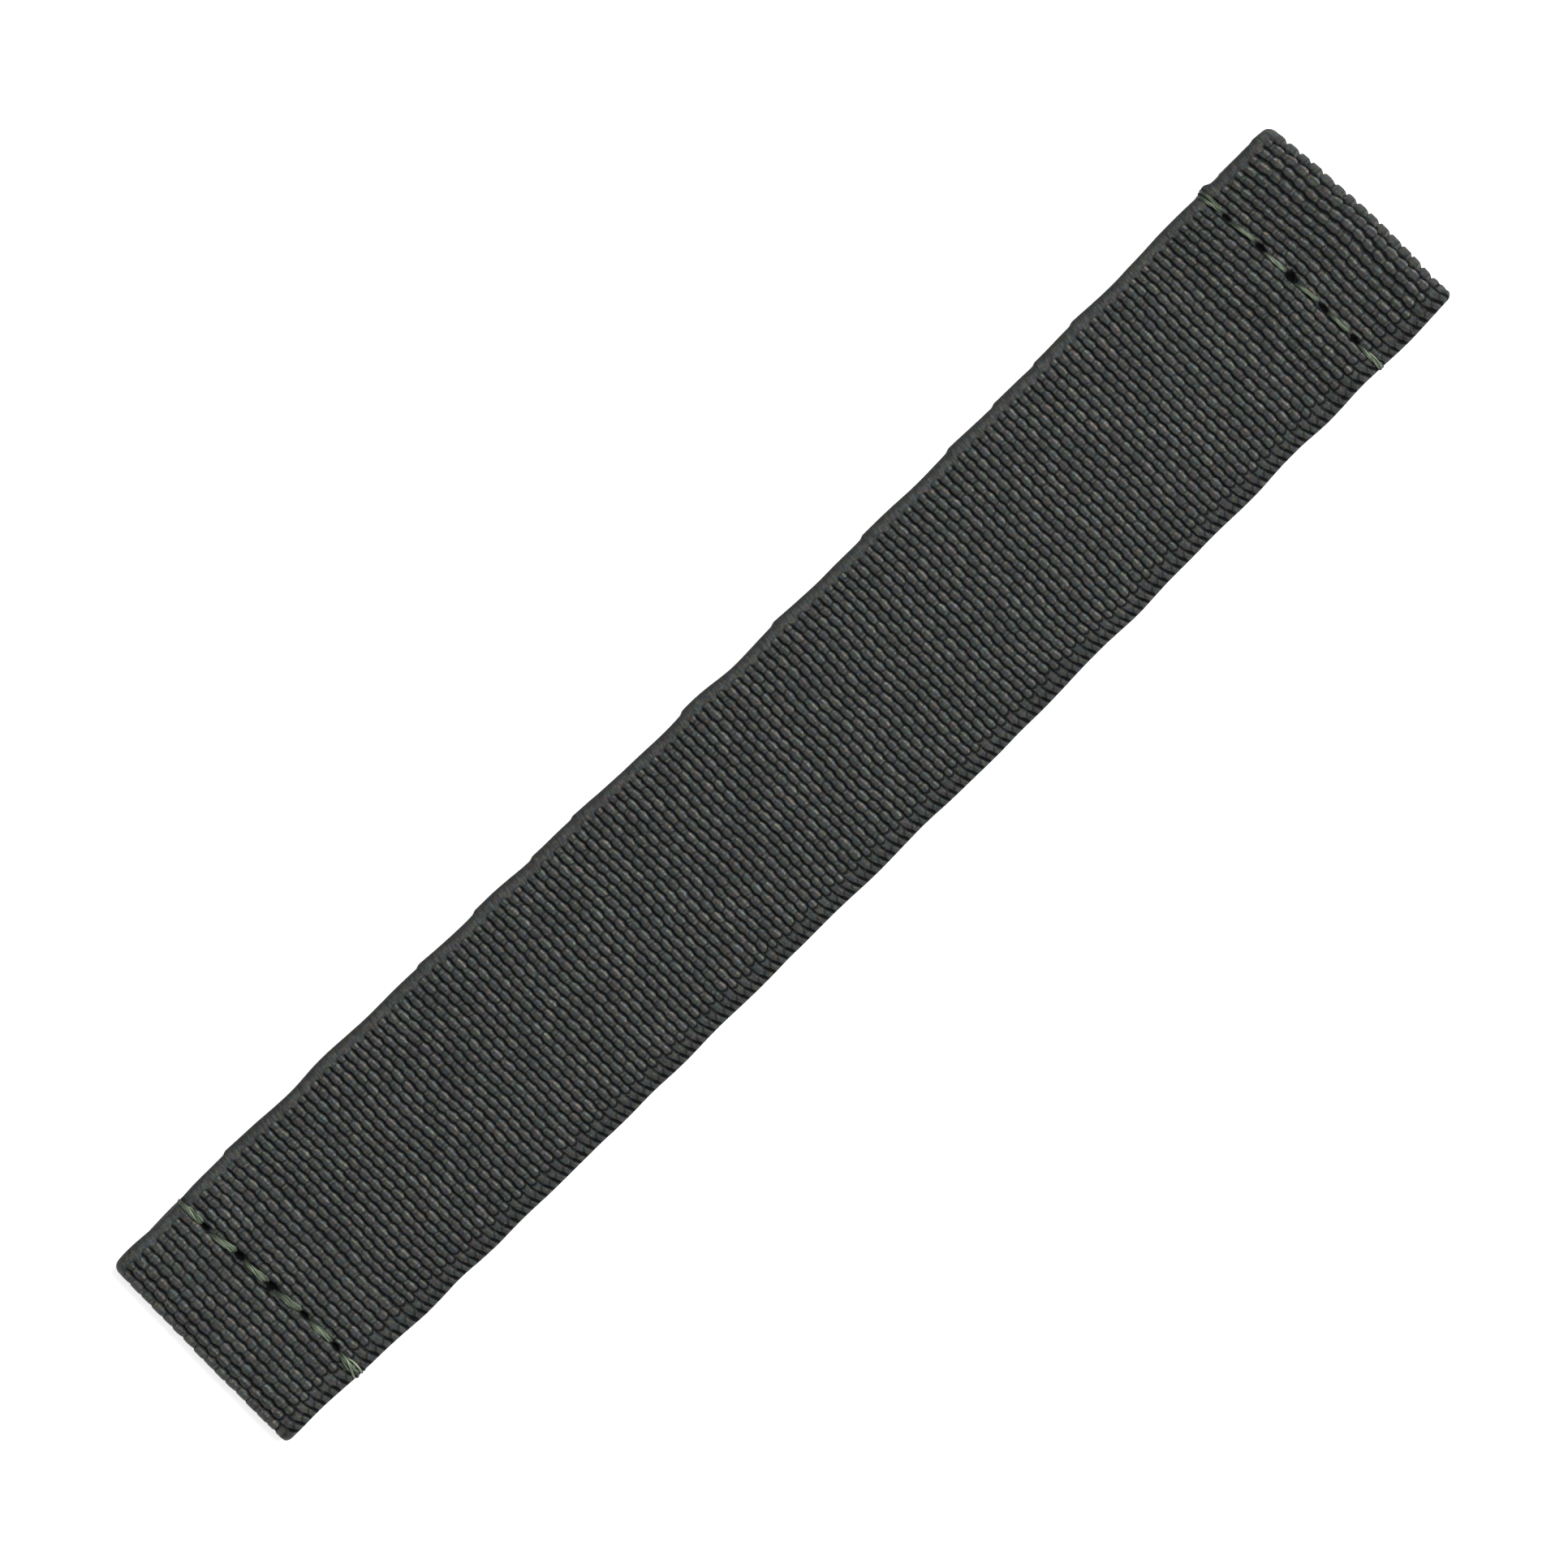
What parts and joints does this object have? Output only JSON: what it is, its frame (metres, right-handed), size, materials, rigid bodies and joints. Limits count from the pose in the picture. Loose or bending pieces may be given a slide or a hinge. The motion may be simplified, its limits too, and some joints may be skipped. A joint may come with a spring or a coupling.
{
  "type": "elastic watch strap",
  "caption": "Flat woven elastic watch strap with a sewn hem at each end that forms a tunnel for a spring bar.",
  "frame": {"origin": "middle of the strap, on the surface that its back lies on", "axes": "+X along the strap, +Y across it towards the smooth selvedge, +Z out of the face that shows when worn"},
  "size_m": [0.13, 0.0202, 0.0041],
  "materials": {
    "webbing": "ribbed matte weave",
    "rubber_core": "matte",
    "weft": "twisted yarn",
    "seam_thread": "plied sewing thread"
  },
  "bodies": {
    "centre_link": {"webbing_centre": "webbing", "rubber_cores_centre": "rubber_core", "weft_pick_left_1": "weft", "weft_pick_right_1": "weft"},
    "link_right_1_inner": {"webbing_right_1_inner": "webbing", "rubber_cores_right_1": "rubber_core"},
    "link_right_1_outer": {"webbing_right_1_outer": "webbing", "weft_pick_right_2": "weft"},
    "link_right_2_inner": {"webbing_right_2_inner": "webbing", "rubber_cores_right_2": "rubber_core"},
    "link_right_2_outer": {"webbing_right_2_outer": "webbing", "weft_pick_right_3": "weft"},
    "link_right_3_inner": {"webbing_right_3_inner": "webbing", "rubber_cores_right_3": "rubber_core"},
    "link_right_3_outer": {"webbing_right_3_outer": "webbing", "weft_pick_right_4": "weft"},
    "link_right_4_inner": {"webbing_right_4_inner": "webbing", "rubber_cores_right_4": "rubber_core"},
    "link_right_4_outer": {"webbing_right_4_outer": "webbing", "weft_pick_right_5": "weft"},
    "hem_right": {"webbing_hem_right": "webbing", "rubber_cores_hem_right": "rubber_core", "needle_thread_right": "seam_thread", "bobbin_thread_right": "seam_thread"},
    "link_left_1_inner": {"webbing_left_1_inner": "webbing", "rubber_cores_left_1": "rubber_core"},
    "link_left_1_outer": {"webbing_left_1_outer": "webbing", "weft_pick_left_2": "weft"},
    "link_left_2_inner": {"webbing_left_2_inner": "webbing", "rubber_cores_left_2": "rubber_core"},
    "link_left_2_outer": {"webbing_left_2_outer": "webbing", "weft_pick_left_3": "weft"},
    "link_left_3_inner": {"webbing_left_3_inner": "webbing", "rubber_cores_left_3": "rubber_core"},
    "link_left_3_outer": {"webbing_left_3_outer": "webbing", "weft_pick_left_4": "weft"},
    "link_left_4_inner": {"webbing_left_4_inner": "webbing", "rubber_cores_left_4": "rubber_core"},
    "link_left_4_outer": {"webbing_left_4_outer": "webbing", "weft_pick_left_5": "weft"},
    "hem_left": {"webbing_hem_left": "webbing", "rubber_cores_hem_left": "rubber_core", "needle_thread_left": "seam_thread", "bobbin_thread_left": "seam_thread"}
  },
  "joints": [
    {"name": "bend_right_1", "type": "hinge", "parent": "centre_link", "child": "link_right_1_inner", "pos_m": [0.0056, 0, 0.00065], "axis": [0, 1, 0], "range_deg": [-27, 27]},
    {"name": "stretch_right_1", "type": "slide", "parent": "link_right_1_inner", "child": "link_right_1_outer", "axis": [1, 0, 0], "range_m": [0, 0.00375], "stiffness_N_per_m": 1440},
    {"name": "bend_right_2", "type": "hinge", "parent": "link_right_1_outer", "child": "link_right_2_inner", "pos_m": [0.01681, 0, 0.00065], "axis": [0, 1, 0], "range_deg": [-27, 27]},
    {"name": "stretch_right_2", "type": "slide", "parent": "link_right_2_inner", "child": "link_right_2_outer", "axis": [1, 0, 0], "range_m": [0, 0.00375], "stiffness_N_per_m": 1440},
    {"name": "bend_right_3", "type": "hinge", "parent": "link_right_2_outer", "child": "link_right_3_inner", "pos_m": [0.02802, 0, 0.00065], "axis": [0, 1, 0], "range_deg": [-27, 27]},
    {"name": "stretch_right_3", "type": "slide", "parent": "link_right_3_inner", "child": "link_right_3_outer", "axis": [1, 0, 0], "range_m": [0, 0.00375], "stiffness_N_per_m": 1440},
    {"name": "bend_right_4", "type": "hinge", "parent": "link_right_3_outer", "child": "link_right_4_inner", "pos_m": [0.03923, 0, 0.00065], "axis": [0, 1, 0], "range_deg": [-27, 27]},
    {"name": "stretch_right_4", "type": "slide", "parent": "link_right_4_inner", "child": "link_right_4_outer", "axis": [1, 0, 0], "range_m": [0, 0.00375], "stiffness_N_per_m": 1440},
    {"name": "bend_right_5", "type": "hinge", "parent": "link_right_4_outer", "child": "hem_right", "pos_m": [0.05044, 0, 0.00065], "axis": [0, 1, 0], "range_deg": [-27, 27]},
    {"name": "bend_left_1", "type": "hinge", "parent": "centre_link", "child": "link_left_1_inner", "pos_m": [-0.0056, 0, 0.00065], "axis": [0, -1, 0], "range_deg": [-27, 27]},
    {"name": "stretch_left_1", "type": "slide", "parent": "link_left_1_inner", "child": "link_left_1_outer", "axis": [-1, 0, 0], "range_m": [0, 0.00375], "stiffness_N_per_m": 1440},
    {"name": "bend_left_2", "type": "hinge", "parent": "link_left_1_outer", "child": "link_left_2_inner", "pos_m": [-0.01681, 0, 0.00065], "axis": [0, -1, 0], "range_deg": [-27, 27]},
    {"name": "stretch_left_2", "type": "slide", "parent": "link_left_2_inner", "child": "link_left_2_outer", "axis": [-1, 0, 0], "range_m": [0, 0.00375], "stiffness_N_per_m": 1440},
    {"name": "bend_left_3", "type": "hinge", "parent": "link_left_2_outer", "child": "link_left_3_inner", "pos_m": [-0.02802, 0, 0.00065], "axis": [0, -1, 0], "range_deg": [-27, 27]},
    {"name": "stretch_left_3", "type": "slide", "parent": "link_left_3_inner", "child": "link_left_3_outer", "axis": [-1, 0, 0], "range_m": [0, 0.00375], "stiffness_N_per_m": 1440},
    {"name": "bend_left_4", "type": "hinge", "parent": "link_left_3_outer", "child": "link_left_4_inner", "pos_m": [-0.03923, 0, 0.00065], "axis": [0, -1, 0], "range_deg": [-27, 27]},
    {"name": "stretch_left_4", "type": "slide", "parent": "link_left_4_inner", "child": "link_left_4_outer", "axis": [-1, 0, 0], "range_m": [0, 0.00375], "stiffness_N_per_m": 1440},
    {"name": "bend_left_5", "type": "hinge", "parent": "link_left_4_outer", "child": "hem_left", "pos_m": [-0.05044, 0, 0.00065], "axis": [0, -1, 0], "range_deg": [-27, 27]}
  ],
  "couplings": [
    {"joint": "stretch_right_2", "follows": "stretch_right_1", "ratio": 1},
    {"joint": "stretch_right_3", "follows": "stretch_right_1", "ratio": 1},
    {"joint": "stretch_right_4", "follows": "stretch_right_1", "ratio": 1},
    {"joint": "stretch_left_1", "follows": "stretch_right_1", "ratio": 1},
    {"joint": "stretch_left_2", "follows": "stretch_right_1", "ratio": 1},
    {"joint": "stretch_left_3", "follows": "stretch_right_1", "ratio": 1},
    {"joint": "stretch_left_4", "follows": "stretch_right_1", "ratio": 1}
  ]
}
